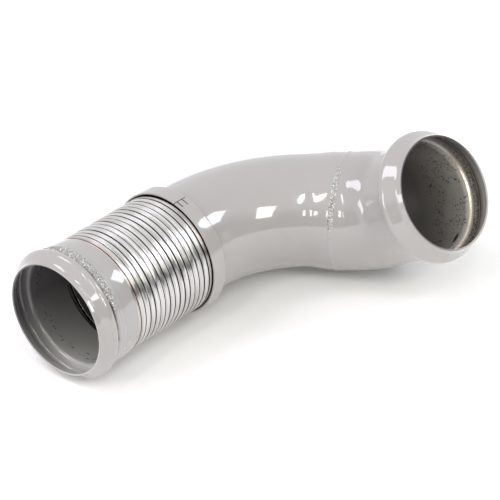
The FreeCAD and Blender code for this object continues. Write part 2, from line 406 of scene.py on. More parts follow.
def ramp(
    tree: Tree,
    value: Socket,
    span: Sequence[float],
    result: Sequence[float] = (0.0, 1.0),
    smooth: bool = False,
) -> Socket:
    """Maps a value from one span to another, clamped.

    Args:
        tree: Node tree to add to.
        value: Socket with the value.
        span: Values that give the first and the last result.
        result: First and last result.
        smooth: Eases in and out of the span.

    Returns:
        The socket with the result.
    """
    ends = dict(zip(("From Min", "From Max", "To Min", "To Max"), (*span, *result)))
    kind = "SMOOTHSTEP" if smooth else "LINEAR"
    made = node(tree, "MapRange", {"Value": value, **ends}, interpolation_type=kind)
    return made["Result"]


def mixed(tree: Tree, share: Any, first: Any, second: Any, kind: str = "RGBA") -> Socket:
    """Mixes two colours, or two numbers if the kind is FLOAT, by a share from nought to one."""
    slot, output = (6, 2) if kind == "RGBA" else (2, 0)
    made = node(tree, "Mix", {0: share, slot: first, slot + 1: second}, data_type=kind)
    return made[output]


def maths(tree: Tree, operation: str, *values: Any, vector: bool = False) -> Socket:
    """Result of a math node, or of a vector math node, on sockets or numbers."""
    kind = "VectorMath" if vector else "Math"
    outputs = node(tree, kind, dict(enumerate(values)), operation=operation)
    return outputs["Vector" if vector and operation != "LENGTH" else "Value"]


def product(tree: Tree, *values: Any) -> Socket:
    """Multiplies sockets or numbers."""
    result = values[0]
    for value in values[1:]:
        result = maths(tree, "MULTIPLY", result, value)
    return result


def band(tree: Tree, value: Socket, stretch: Band) -> Socket:
    """One from first to last millimetre, falling to nought over the edge width on both sides."""
    first, last, edge = metres(stretch)
    rise = ramp(tree, value, (first - edge, first), smooth=True)
    fall = ramp(tree, value, (last, last + edge), (1.0, 0.0), True)
    return product(tree, rise, fall)


def noise_value(
    tree: Tree, vector: Socket, size_mm: float, detail: float = 2.0, roughness: float = 0.6
) -> Socket:
    """Noise with lumps of about the given size, from a vector in metres."""
    inputs = {"Vector": vector, "Scale": 1 / (size_mm * MM), "Detail": detail, "Roughness": roughness}
    return node(tree, "TexNoise", inputs)["Fac"]


def bumped(tree: Tree, height: Socket, depth_mm: float) -> Socket:
    """Normal of a surface with bumps of this depth."""
    inputs = {"Height": height, "Strength": 1.0, "Distance": depth_mm * MM}
    return node(tree, "Bump", inputs)["Normal"]


def parts_of(tree: Tree, vector: Socket) -> Any:
    """The X, Y and Z outputs of a vector."""
    return node(tree, "SeparateXYZ", {"Vector": vector})


def object_coords(tree: Tree) -> Socket:
    """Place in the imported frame, in metres."""
    return node(tree, "TexCoord")["Object"]


def along_line(tree: Tree, lay: Matrix, scale: Sequence[float] = (1, 1, 1)) -> Socket:
    """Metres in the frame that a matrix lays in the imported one, each axis stretched by a scale."""
    place, turn, _ = lay.decompose()
    inputs = {"Vector": object_coords(tree), "Location": place, "Rotation": turn.to_euler()}
    inputs["Scale"] = scale
    return node(tree, "Mapping", inputs, vector_type="TEXTURE")["Vector"]


@dataclass(frozen=True)
class SprayPaint(Finish):
    """Gloss heat-resistant enamel, sprayed on bare steel tube.

    It mirrors the lamps sharply, with a faint orange peel and a few specks of dust.
    """

    colour: str = "#A2A0A0"
    warm_colour: str = "#A09D9B"
    speck_colour: str = "#75746F"
    roughness: float = 0.1
    coat: float = 0.9
    coat_roughness: float = 0.03
    patch_mm: float = 70.0
    peel_mm: float = 2.2
    peel_depth_mm: float = 0.004
    noise_roughness: float = 0.5
    speck_mm: float = 14.0
    speck_edge: Span = (0.02, 0.035)
    speck_share: float = 0.7

    def inputs(self, tree: Tree) -> Inputs:
        """The shader's inputs, with the nodes that feed them."""
        coords = object_coords(tree)
        patches = noise_value(tree, coords, self.patch_mm, 2.0, self.noise_roughness)
        toned = mixed(tree, patches, self.colour, self.warm_colour)
        scale = 1 / (self.speck_mm * MM)
        cells = node(tree, "TexVoronoi", {"Vector": coords, "Scale": scale})
        specks = ramp(tree, cells["Distance"], self.speck_edge, (self.speck_share, 0.0))
        peel = noise_value(tree, coords, self.peel_mm, 1.0, self.noise_roughness)
        return {
            "Base Color": mixed(tree, specks, toned, self.speck_colour),
            "Roughness": self.roughness,
            "IOR": PAINT_IOR,
            "Coat Weight": self.coat,
            "Coat Roughness": self.coat_roughness,
            "Normal": bumped(tree, peel, self.peel_depth_mm),
        }


@dataclass(frozen=True)
class WeldMetal(Finish):
    """Weld metal under a thin coat of the paint, with pits, painted glints on its grains and painted shade
    in cracks.

    Each weld's mesh says where it is rough and where shade is painted in its crack; elsewhere
    the coat of paint has flowed smooth. Pairs go from smooth to rough.
    """

    paint_colour: str = "#A2A0A0"
    colour: str = "#A5A5A2"
    pit_colour: str = "#5E5D59"
    # White of the painted glints that the lamps would make on the weld's grains
    glint_colour: str = "#FFFFFF"
    # Dark colour of the painted shade in a weld's crack
    soot_and_shade_colour: str = "#2B2927"
    grain_mm: float = 1.6
    grain_detail: float = 3.0
    grain_roughness: float = 0.65
    pit_grain: Span = (0.36, 0.48)
    glint_grain: Span = (0.58, 0.64)
    bump_mm: float = 0.9
    roughness: Span = (0.12, 0.18)
    coat: Span = (0.9, 0.4)
    coat_roughness: float = 0.05

    def inputs(self, tree: Tree) -> Inputs:
        """The shader's inputs, with the nodes that feed them."""
        # Shares of roughness and of painted crack shade, read from the mesh
        rough, soot_and_shade = (
            node(tree, "Attribute", attribute_name=layer)["Fac"]
            for layer in (ROUGH_SHARE, CRACK_SHADE_SHARE)
        )
        coords = object_coords(tree)
        grain = noise_value(tree, coords, self.grain_mm, self.grain_detail, self.grain_roughness)
        pits = ramp(tree, grain, self.pit_grain, (1.0, 0.0))
        pitted = mixed(tree, pits, self.colour, self.pit_colour)
        # Painted glints: the brightest grains are coloured white
        bright = mixed(tree, ramp(tree, grain, self.glint_grain), pitted, self.glint_colour)
        bare = mixed(tree, rough, self.paint_colour, bright)
        return {
            "Base Color": mixed(tree, soot_and_shade, bare, self.soot_and_shade_colour),
            "Roughness": ramp(tree, rough, (0.0, 1.0), self.roughness),
            "IOR": PAINT_IOR,
            "Coat Weight": ramp(tree, rough, (0.0, 1.0), self.coat),
            "Coat Roughness": self.coat_roughness,
            "Normal": bumped(tree, product(tree, grain, rough), self.bump_mm),
        }


@dataclass(frozen=True)
class RolledStrip(Finish):
    """Rolled stainless strip: bright metal brushed along the winding.

    The brushing spreads each reflection along the pipe and keeps it narrow around it.
    Pairs of millimetres are distances along the leg, unless they say radii or sides.
    """

    lay: Matrix
    colour: str = "#F6F4F3"
    streak_colour: str = "#B0AEAC"
    tint_colour: str = "#C3B0A7"
    # Painted shade in the gaps between turns and behind the strip's cut end
    gap_shade_colour: str = "#0A0908"
    roughness: float = 0.34
    brushing: float = 0.95
    line_mm: float = 0.35
    line_length_mm: float = 70.0
    line_grain: Span = (0.42, 0.62)
    wave_mm: float = 1.3
    wave_length_mm: float = 34.0
    wave_grain: Span = (0.3, 0.7)
    wave_lean: float = 0.16
    front_tint: Span = (52.0, 62.0)
    rear_tint: Span = (152.0, 160.0)
    tint_share: float = 0.6
    # Radii below which shade is painted in the gaps
    gap_radii: Span = (64.2, 64.44)
    # The strip's cut end lies deeper, in the collar's shadow, which is painted; further back on top than
    # below
    end_sides: Span = (-30.0, 40.0)
    end_stations: Span = (157.8, 155.3)
    end_edge: float = 0.4

    def inputs(self, tree: Tree) -> Inputs:
        """The shader's inputs, with the nodes that feed them."""
        leg = parts_of(tree, along_line(tree, self.lay))
        lines = self.streaks(tree, self.line_mm, self.line_length_mm)
        streaked = mixed(tree, ramp(tree, lines, self.line_grain), self.colour, self.streak_colour)
        front = ramp(tree, leg["X"], metres(self.front_tint), (self.tint_share, 0.0), True)
        rear = ramp(tree, leg["X"], metres(self.rear_tint), (0.0, self.tint_share), True)
        heated = mixed(tree, maths(tree, "ADD", front, rear), streaked, self.tint_colour)
        along = self.lay.to_3x3() @ Vector((1, 0, 0))
        axis = node(tree, "CombineXYZ", dict(zip("XYZ", along.normalized())))
        return {
            # Painted shade over the heat-tinted, streaked metal
            "Base Color": mixed(tree, self.painted_gap_shade(tree, leg), heated, self.gap_shade_colour),
            "Metallic": 1.0,
            "Roughness": self.roughness,
            "Anisotropic": self.brushing,
            "Tangent": axis["Vector"],
            "Normal": self.waved(tree, axis["Vector"]),
        }

    def streaks(self, tree: Tree, width_mm: float, length_mm: float) -> Socket:
        """Noise that is narrow along the leg and long around it."""
        return noise_value(tree, along_line(tree, self.lay, (width_mm, length_mm, length_mm)), 1.0)

    def painted_gap_shade(self, tree: Tree, leg: Any) -> Socket:
        """Painted shade: one in the gaps and behind the strip's cut end."""
        across = node(tree, "CombineXYZ", {"Y": leg["Y"], "Z": leg["Z"]})
        radius = maths(tree, "LENGTH", across["Vector"], vector=True)
        sunk = ramp(tree, radius, metres(self.gap_radii), (1.0, 0.0))
        end = ramp(tree, leg["Y"], metres(self.end_sides), metres(self.end_stations))
        behind = ramp(tree, maths(tree, "SUBTRACT", leg["X"], end), metres((0.0, self.end_edge)))
        return maths(tree, "MAXIMUM", sunk, behind)

    def waved(self, tree: Tree, axis: Socket) -> Socket:
        """Normal that leans a little around the hose, from turn to turn and along each turn."""
        waves = self.streaks(tree, self.wave_mm, self.wave_length_mm)
        lean = ramp(tree, waves, self.wave_grain, (-self.wave_lean, self.wave_lean))
        normal = node(tree, "NewGeometry")["Normal"]
        around = maths(tree, "CROSS_PRODUCT", axis, normal, vector=True)
        leaned = maths(tree, "MULTIPLY_ADD", around, lean, normal, vector=True)
        return maths(tree, "NORMALIZE", leaned, vector=True)


@dataclass(frozen=True)
class DarkerInnerStrip(Finish):
    """Inside of the hose: the strip's hooks, in a darker metal than outside."""

    colour: str = "#A8A4A0"
    metallic: float = 0.9
    roughness: float = 0.24

    def inputs(self, tree: Tree) -> Inputs:
        """Adds no node: the darker metal has no pattern."""
        return {"Base Color": self.colour, "Metallic": self.metallic, "Roughness": self.roughness}


@dataclass(frozen=True)
class InletBore(Finish):
    """Overspray inside the ferrule, with painted light on the floor of the bore and painted shade above
    it.

    A ring of dark spatter lies on it.
    """

    lay: Matrix
    # Painted light on the floor of the bore and painted shade under its roof
    lit_floor_colour: str = "#ABAAA6"
    shaded_roof_colour: str = "#575557"
    spatter_colour: str = "#2E2C2A"
    # Painted light: up leans towards the side that the light falls in from
    light_lean_share: float = 0.55
    shade_heights: Span = (-40.0, 52.0)
    spatter_mm: float = 3.5
    spatter_grain: Span = (0.6, 0.64)
    spatter_share: float = 0.7
    spatter_ring: Band = (31.0, 36.0, 5.0)
    roughness: float = 0.22
    coat: float = 0.6

    def inputs(self, tree: Tree) -> Inputs:
        """The shader's inputs, with the nodes that feed them."""
        place = along_line(tree, self.lay)
        leg = parts_of(tree, place)
        # Painted light and shade: lighter low in the bore, darker high up
        upward = maths(tree, "MULTIPLY_ADD", leg["Z"], self.light_lean_share, leg["Y"])
        height = ramp(tree, upward, metres(self.shade_heights))
        toned = mixed(tree, height, self.lit_floor_colour, self.shaded_roof_colour)
        grain = noise_value(tree, place, self.spatter_mm, 3.0)
        spatter = ramp(tree, grain, self.spatter_grain, (0.0, self.spatter_share))
        ring = band(tree, leg["X"], self.spatter_ring)
        return {
            "Base Color": mixed(tree, product(tree, spatter, ring), toned, self.spatter_colour),
            "Roughness": self.roughness,
            "IOR": PAINT_IOR,
            "Coat Weight": self.coat,
        }


@dataclass(frozen=True)
class OutletBore(Finish):
    """Inside of the outlet: painted light on sprayed paint, a warm neck with painted highlight, sooty
    specks around it.

    Depths are taken inwards from the outlet rim. Shade is painted under the top of the mouth, far
    inside, and on a small slot that lies low behind the neck.
    """

    lay: Matrix
    # Painted light and shade of the wall: shaded left, lit right, shaded roof and shaded deep inside
    shaded_left_colour: str = "#7E7A79"
    lit_right_colour: str = "#AEA9A4"
    shaded_roof_colour: str = "#4A4848"
    shaded_deep_colour: str = "#6C6967"
    # Warm metal tint of the neck, lightened to a painted highlight
    warm_neck_highlight_colour: str = "#EADCC6"
    grey_neck_colour: str = "#8E8C89"
    # Dark colour of the sooty specks and of the painted shade on the slot
    soot_and_shade_colour: str = "#1E1A18"
    # Darker brown of the patches in the groove
    dark_groove_colour: str = "#40322A"
    roughness: float = 0.3
    # Sides and heights about the middle of the rim, in the imported frame, over which painted light and
    # shade change
    sides: Span = (-45.0, 45.0)
    shade_heights: Span = (-20.0, 40.0)
    deep_shade_depths: Span = (36.0, 95.0)
    neck: Band = (27.7, 28.6, 0.35)
    # Patchiness of the painted highlight on the neck
    neck_highlight_grain: Span = (0.36, 0.5)
    neck_highlight_least: float = 0.35
    groove: Band = (17.2, 26.2, 0.8)
    groove_patch_grain: Span = (0.4, 0.6)
    groove_patch_share: Span = (0.55, 0.97)
    ridge: Band = (20.4, 21.4, 0.4)
    ridge_share: float = 0.8
    soot_and_shade: Band = (32.0, 76.0, 8.0)
    soot_mm: float = 2.2
    soot_grain: Span = (0.555, 0.62)
    patch_mm: float = 22.0
    patch_grain: Span = (0.43, 0.55)
    # Where shade is painted on the slot
    slot_depth: Band = (35.0, 38.5, 0.5)
    slot_side: Band = (-15.0, -4.0, 0.5)
    slot_below: Span = (-20.0, -25.0)

    def inputs(self, tree: Tree) -> Inputs:
        """The shader's inputs, with the nodes that feed them."""
        place = along_line(tree, self.lay)
        inside = parts_of(tree, place)
        spots = parts_of(tree, object_coords(tree))
        side_x, low_z = self.lay.translation.x, self.lay.translation.z
        # Painted light: the right side and the bottom are lighter
        side = ramp(tree, spots["X"], [side_x + x for x in metres(self.sides)], smooth=True)
        low = ramp(tree, spots["Z"], [low_z + z for z in metres(self.shade_heights)], (1.0, 0.0), True)
        grain = noise_value(tree, place, self.soot_mm, 3.0)
        shaded_wall = self.wall(tree, inside["X"], side, low)
        shaded_wall = self.soot_and_slot_shade(tree, shaded_wall, place, inside, grain)
        shaded_wall = self.grooved(tree, shaded_wall, inside["X"], grain)
        # Painted highlight on the neck: warm and bright on the lit side and low, grey elsewhere
        neck_highlight = mixed(tree, product(tree, side, low), self.grey_neck_colour, self.warm_neck_highlight_colour)
        neck = band(tree, inside["X"], self.neck)
        neck_highlight_share = product(tree, neck, ramp(tree, grain, self.neck_highlight_grain, (self.neck_highlight_least, 1.0)))
        return {
            "Base Color": mixed(tree, neck_highlight_share, shaded_wall, neck_highlight),
            "Metallic": product(tree, neck_highlight_share, side, low),
            "Roughness": self.roughness,
            "IOR": PAINT_IOR,
        }

    def wall(self, tree: Tree, depth: Socket, side: Socket, low: Socket) -> Socket:
        """Overspray with painted light: lighter on the right, with painted shade under the roof and far
        inside.
        """
        across = mixed(tree, side, self.shaded_left_colour, self.lit_right_colour)
        roofed = mixed(tree, low, self.shaded_roof_colour, across)
        return mixed(tree, ramp(tree, depth, metres(self.deep_shade_depths)), roofed, self.shaded_deep_colour)

    def soot_and_slot_shade(self, tree: Tree, wall: Socket, place: Socket, inside: Any, grain: Socket) -> Socket:
        """Sooty specks in patches behind the neck, and painted shade on the slot, which has no recess in
        the mesh.
        """
        patches = ramp(tree, noise_value(tree, place, self.patch_mm), self.patch_grain)
        reach = band(tree, inside["X"], self.soot_and_shade)
        specks = product(tree, ramp(tree, grain, self.soot_grain), patches, reach)
        spotted = mixed(tree, specks, wall, self.soot_and_shade_colour)
        # Painted shade on the slot, with no recess in the mesh
        deep = band(tree, inside["X"], self.slot_depth)
        wide = band(tree, inside["Y"], self.slot_side)
        below = ramp(tree, inside["Z"], metres(self.slot_below))
        return mixed(tree, product(tree, deep, wide, below), spotted, self.soot_and_shade_colour)

    def grooved(self, tree: Tree, wall: Socket, depth: Socket, grain: Socket) -> Socket:
        """Darker brown patches in the groove of the bead, with a grey ridge line along it."""
        groove = band(tree, depth, self.groove)
        groove_patches = product(tree, groove, ramp(tree, grain, self.groove_patch_grain, self.groove_patch_share))
        darkened_groove = mixed(tree, groove_patches, wall, self.dark_groove_colour)
        ridge = band(tree, depth, self.ridge)
        return mixed(tree, product(tree, ridge, self.ridge_share), darkened_groove, self.grey_neck_colour)


@dataclass(frozen=True)
class Kit:
    """Every finish of the pipe, and the matrix that lays its pieces in the frame."""

    lay: Matrix
    paint: Material
    weld: Material
    strip: Material
    inner_strip: Material
    inlet_bore: Material
    outlet_bore: Material

    @classmethod
    def for_pipe(cls, lay: Matrix, line: PipeLine) -> "Kit":
        """Builds all finishes for the pipe laid by a matrix."""
        outlet = lay @ line.at(line.length) @ Matrix.Rotation(math.pi, 4, "Z")
        return cls(
            lay=lay,
            paint=SprayPaint().made("sprayed_gloss_enamel"),
            weld=WeldMetal().made("painted_weld_metal"),
            strip=RolledStrip(lay).made("rolled_stainless_strip"),
            inner_strip=DarkerInnerStrip().made("darker_inner_strip"),
            inlet_bore=InletBore(lay).made("inlet_bore_with_painted_light"),
            outlet_bore=OutletBore(outlet).made("outlet_bore_with_soot_and_painted_light"),
        )


# Sub-assemblies


@dataclass
class InletEnd:
    """Beaded ferrule, the rough fillet weld behind its bead and the sleeve over the hose."""

    line: PipeLine
    rings: tuple[Ring, ...] = (
        Ring(0.0, 60.8),
        Ring(4.5, 62.2, 6.0),
        Ring(12.0, 69.59, 5.0),
        Ring(18.0, 69.59, 4.5),
        Ring(22.5, 60.0, 2.5),
        Ring(70.0, 60.0),
    )
    sleeve_start: float = 31.0
    sleeve_length: float = 20.0
    sleeve_radius: float = 65.7
    sleeve_wall: float = 1.2
    sleeve_rim_round: float = 0.25
    sleeve_steps: int = 12
    # The band is rolled slightly barrel-shaped, so that it mirrors a lamp as one patch
    sleeve_crown: float = 0.42
    crown_shift: float = 0.4
    # Distance and radius of each ring of the weld
    weld_rings: tuple[Span, ...] = (
        (20.9, 62.6), (21.4, 64.6), (22.6, 65.7), (25.0, 66.3), (27.4, 66.2),
        (28.6, 65.5), (31.0, 65.64), (33.6, 65.8), (33.7, 64.9),
    )
    weld_wall: float = 1.0
    # Angles about the leg from up towards -Y, each with the width of its fading edges: rough on
    # top, painted smooth below
    rough_angles: Band = (-62.0, 58.0, 10.0)
    long_toe_angles: Band = (-90.0, 8.0, 20.0)
    crack_angles: Band = (62.0, 94.0, 6.0)
    # Distances along the leg, with their fading edges
    rough_stretch: Band = (21.6, 27.4, 0.8)
    crack_stretch: Band = (20.0, 21.9, 0.5)
    toe_reach: float = 3.0
    # Size and fineness of the toe's wandering, wide and narrow, and of what stands on the weld
    toe_wander: tuple[Span, ...] = ((1.6, 0.12), (1.0, 0.5))
    crack_wander: float = 0.5
    lumps: Span = (1.1, 0.3)
    grain: Span = (0.6, 1.4)
    least_rise: float = 0.1
    crack_depth: float = 1.2

    @property
    def sleeve_middle(self) -> float:
        """Distance of the middle of the sleeve."""
        return self.sleeve_start + self.sleeve_length / 2

    def build(self, kit: Kit) -> None:
        """Builds the three pieces of the inlet end."""
        self.ferrule(kit)
        self.sleeve(kit)
        self.weld(kit)

    def ferrule(self, kit: Kit) -> None:
        """Tube end with a rolled bead and a flared lip."""
        bm = tube_skin(self.line, self.rings)
        give_wall(bm, TUBE_WALL, RIM_ROUND)
        mark_inside(bm, self.line, (-1.0, self.rings[-1].distance))
        skins = kit.paint, kit.inlet_bore
        finished(bm, "beaded_inlet_ferrule", "inlet_ferrule", Slot.PAINT, kit.lay, *skins)

    def sleeve(self, kit: Kit) -> None:
        """Plain band over the first turns of the hose."""
        rings = []
        for number in range(self.sleeve_steps + 1):
            share = 2 * number / self.sleeve_steps - 1
            station = self.sleeve_middle + share * self.sleeve_length / 2
            drop = self.sleeve_crown * (share + self.crown_shift) ** 2
            rings.append(Ring(station, self.sleeve_radius - drop))
        bm = tube_skin(self.line, rings)
        give_wall(bm, self.sleeve_wall, self.sleeve_rim_round)
        finished(bm, "painted_front_sleeve", "front_sleeve", Slot.PAINT, kit.lay, kit.paint)

    def weld(self, kit: Kit) -> None:
        """Fillet weld laid in short dabs, rough on top and wiped smooth with paint below."""
        rings = [Ring(*pair) for pair in self.weld_rings]
        bm = tube_skin(self.line, rings, FINE_SIDES)
        lengthways = [e for e in bm.edges if abs(e.verts[0].co.x - e.verts[1].co.x) > 0.05]
        bmesh.ops.subdivide_edges(bm, edges=lengthways, cuts=2, use_grid_fill=True)
        rough_layer = bm.verts.layers.float.new(ROUGH_SHARE)
        crack_shade_layer = bm.verts.layers.float.new(CRACK_SHADE_SHARE)
        start, plain_toe, toe_fade = self.rough_stretch
        lip, root, root_fade = self.crack_stretch
        lump_height, lump_scale = self.lumps
        grain_height, grain_scale = self.grain
        for vert in bm.verts:
            angle, radius = about_axis(vert.co)
            wander = sum(size * noise.noise(vert.co * scale) for size, scale in self.toe_wander)
            toe = plain_toe + wander + self.toe_reach * share_in(angle, self.long_toe_angles)
            rough = share_in(angle, self.rough_angles)
            rough *= share_in(vert.co.x, (start, toe, toe_fade))
            lump = noise.fractal(vert.co * lump_scale, 0.7, 2.1, 3, noise_basis="PERLIN_ORIGINAL")
            grain = noise.noise(vert.co * grain_scale)
            rise = self.least_rise + lump_height * lump + grain_height * grain
            crack = share_in(angle, self.crack_angles)
            crack *= share_in(vert.co.x, (lip, root + self.crack_wander * wander, root_fade))
            vert[rough_layer] = rough
            # The crack's dark colour is painted shade, on top of the groove cut into the mesh
            vert[crack_shade_layer] = crack
            scale = (radius + rough * rise - self.crack_depth * crack) / radius
            vert.co.y *= scale
            vert.co.z *= scale
        give_wall(bm, self.weld_wall)
        finished(bm, "rough_fillet_weld", "ferrule_weld", Slot.WELD, kit.lay, kit.weld)


def share_in(value: float, stretch: Band) -> float:
    """Share from nought to one that is full from first to last and fades over the edge width."""
    first, last, fade = stretch
    outside = max(first - value, value - last, 0.0)
    return max(0.0, 1 - outside / fade)


@dataclass
class WoundHose:
    """Strip-wound interlocked hose: one folded strip wound as a helix, hooked into itself."""

    start: float = 33.0
    crown_width: float = 5.75
    crown_radius: float = 64.5
    strip_thickness: float = 0.4
    steps_per_turn: int = 120
    # Opening after each turn, from the inlet end: the strip is pulled unevenly
    gaps: tuple[float, ...] = (
        1.15, 1.15, 1.05, 1.0, 1.25, 1.85, 0.95, 1.0, 1.65, 1.05,
        1.65, 1.75, 1.65, 1.05, 1.05, 1.65, 1.75, 1.75, 1.35,
    )
    hook_depth: float = 3.6
    # Faces that look inwards by more than this share are the inside
    inward_share: float = 0.2

    def section(self) -> list[Span]:
        """Corners of the folded strip, as distance along the pipe and depth below the crown."""
        crown, hook = self.crown_width, self.hook_depth
        front_flank = [(1.9, -1.9), (0.25, -1.9), (0.0, -1.6), (0.0, -0.12), (0.12, 0.0)]
        bead = [(1.0, 0.0), (1.1, -0.16), (1.25, -0.16), (1.35, 0.0)]
        rear_flank = [(-0.12, 0.0), (0.0, -0.12), (0.0, 0.3 - hook)]
        turned_hook = [(0.3, -hook), (4.6, -hook), (4.9, 0.3 - hook), (4.9, 1.0 - hook), (3.4, 1.0 - hook)]
        return front_flank + bead + [(crown + x, depth) for x, depth in rear_flank + turned_hook]

    def build(self, kit: Kit) -> None:
        """Winds the folded section turn by turn and gives the strip its thickness."""
        bm = bmesh.new()
        crown = self.crown_width
        verts = [
            bmesh.ops.create_vert(bm, co=(self.start + x, 0, self.crown_radius + depth))["vert"][0]
            for x, depth in self.section()
        ]
        strip = list(verts)
        strip += [bm.edges.new(pair) for pair in zip(verts, verts[1:])]
        steps = self.steps_per_turn
        turn = {"cent": (0, 0, 0), "axis": (1, 0, 0), "angle": math.tau, "use_merge": False}
        for gap in self.gaps:
            step = (crown + gap) / steps, 0, 0
            strip = bmesh.ops.spin(bm, geom=strip, steps=steps, dvec=step, **turn)["geom_last"]
        bmesh.ops.recalc_face_normals(bm, faces=bm.faces)
        crown_face = max(bm.faces, key=lambda face: about_axis(face.calc_center_median())[1])
        if crown_face.normal.dot(Vector((0, *crown_face.calc_center_median().yz))) < 0:
            bmesh.ops.reverse_faces(bm, faces=bm.faces)
        bmesh.ops.solidify(bm, geom=list(bm.faces), thickness=self.strip_thickness)
        inside = self.crown_radius - self.hook_depth + self.strip_thickness
        for face in bm.faces:
            middle = face.calc_center_median()
            outward = Vector((0, middle.y, middle.z))
            if outward.length < inside and face.normal.dot(outward.normalized()) < -self.inward_share:
                face.material_index = INNER
        skins = kit.strip, kit.inner_strip
        finished(bm, "wound_strip_hose", "strip_wound_hose", Slot.STRIP, kit.lay, *skins)


@dataclass(frozen=True)
class Expansion:
    """Radius of the bent tube: expanded towards the joint and reduced again behind it."""

    line: PipeLine
    growth: float = 3.1
    rise_length: float = 36.0
    land_length: float = 28.0
    fall_length: float = 60.0

    @property
    def end(self) -> float:
        """Distance at which the tube is back to its plain radius."""
        return self.line.elbow_end + self.land_length + self.fall_length

    def radius(self, distance: float) -> float:
        """Radius of the tube at a distance from the inlet rim."""
        past = distance - self.line.elbow_end
        rise = min(1.0, max(0.0, 1 + past / self.rise_length))
        fall = min(1.0, max(0.0, (past - self.land_length) / self.fall_length))
        return TUBE_RADIUS + self.growth * (math.cos(math.pi * fall) - math.cos(math.pi * rise)) / 2

    def rings(self, first: float, last: float, count: int) -> list[Ring]:
        """Evenly spaced rings from first to last."""
        spots = [first + (last - first) * number / count for number in range(count + 1)]
        return [Ring(spot, self.radius(spot)) for spot in spots]


def cut_by_plane(bm: BMesh, point: Vector, normal: Vector, drop: int = 0) -> None:
    """Cuts a mesh by a plane and drops the side that the normal points to (1) or the other (-1)."""
    sides = {"clear_outer": drop > 0, "clear_inner": drop < 0}
    geom = bm.verts[:] + bm.edges[:] + bm.faces[:]
    bmesh.ops.bisect_plane(bm, geom=geom, dist=1e-5, plane_co=point, plane_no=normal, **sides)


@dataclass
class ElbowEnd:
    """Split collar over the hose's last turns and the elbow whose spigot it centres."""

    line: PipeLine
    elbow_start: float = 150.0
    straight_end: float = 20.0
    ring_count: int = 72
    collar_front: float = 158.8
    collar_rear: float = 177.5
    collar_radius: float = 67.6
    # Distance behind the front edge and drop in radius there
    collar_lip: tuple[Span, ...] = ((0.0, 0.35), (3.0, 0.1), (7.0, 0.0))
    collar_wall: float = 1.5
    collar_edge_round: float = 2.5
    collar_rim_round: float = 0.12
    collar_play: float = 0.1
    seam_angle: float = 12.0
    seam_width: float = 1.0
    seam_length: float = 16.0
    tab_span: float = 7.0
    tab_slit_width: float = 1.5
    tab_slits: Span = (3.2, 10.2)

    def build(self, kit: Kit) -> None:
        """Builds the collar and the elbow."""
        self.collar(kit)
        self.elbow(kit)

    def collar(self, kit: Kit) -> None:
        """Band with a rounded rear edge turned in against the tube, slit beside its seam."""
        front, radius = self.collar_front, self.collar_radius
        rings = [Ring(front + offset, radius - drop) for offset, drop in self.collar_lip]
        rings.append(Ring(self.collar_rear, radius, self.collar_edge_round))
        rings.append(Ring(self.collar_rear + SQUARE_STEP, TUBE_RADIUS + self.collar_play))
        bm = tube_skin(self.line, rings)
        self.slit(bm)
        give_wall(bm, self.collar_wall, self.collar_rim_round)
        finished(bm, "split_rear_collar", "rear_collar", Slot.PAINT, kit.lay, kit.paint)

    def slit(self, bm: BMesh) -> None:
        """Cuts the seam along the band and two slits across it, and drops their strips."""
        seam_span = math.degrees(self.seam_width / self.collar_radius)
        near, far = self.seam_angle, self.seam_angle + seam_span
        tab_end = far + self.tab_span
        fronts = [self.collar_front + offset for offset in self.tab_slits]
        for angle in (near, far, tab_end):
            turn = math.radians(angle)
            across = Vector((0, -math.cos(turn), -math.sin(turn)))
            cut_by_plane(bm, Vector((0, 0, 0)), across)
        stations = [self.collar_front + self.seam_length]
        stations += [station for front in fronts for station in (front, front + self.tab_slit_width)]
        for station in stations:
            cut_by_plane(bm, Vector((station, 0, 0)), Vector((1, 0, 0)))
        slits = []
        for face in bm.faces:
            middle = face.calc_center_median()
            angle, _ = about_axis(middle)
            in_seam = near < angle < far and middle.x < self.collar_front + self.seam_length
            in_slit = near < angle < tab_end and any(
                front < middle.x < front + self.tab_slit_width for front in fronts
            )
            if in_seam or in_slit:
                slits.append(face)
        bmesh.ops.delete(bm, geom=slits, context="FACES")

    def elbow(self, kit: Kit) -> None:
        """Mandrel-bent tube, expanded towards its weld."""
        bend = Expansion(self.line)
        straight = self.line.leg_length - self.straight_end
        rings = [Ring(spot, TUBE_RADIUS) for spot in (self.elbow_start, straight)]
        rings += bend.rings(self.line.leg_length, bend.end, self.ring_count)
        bm = tube_skin(self.line, rings)
        cut_by_plane(bm, *self.line.weld_plane(), drop=1)
        give_wall(bm, TUBE_WALL)
        mark_inside(bm, self.line, (self.elbow_start, bend.end))
        skins = kit.paint, kit.inlet_bore
        finished(bm, "bent_elbow_tube", "elbow_tube", Slot.PAINT, kit.lay, *skins)


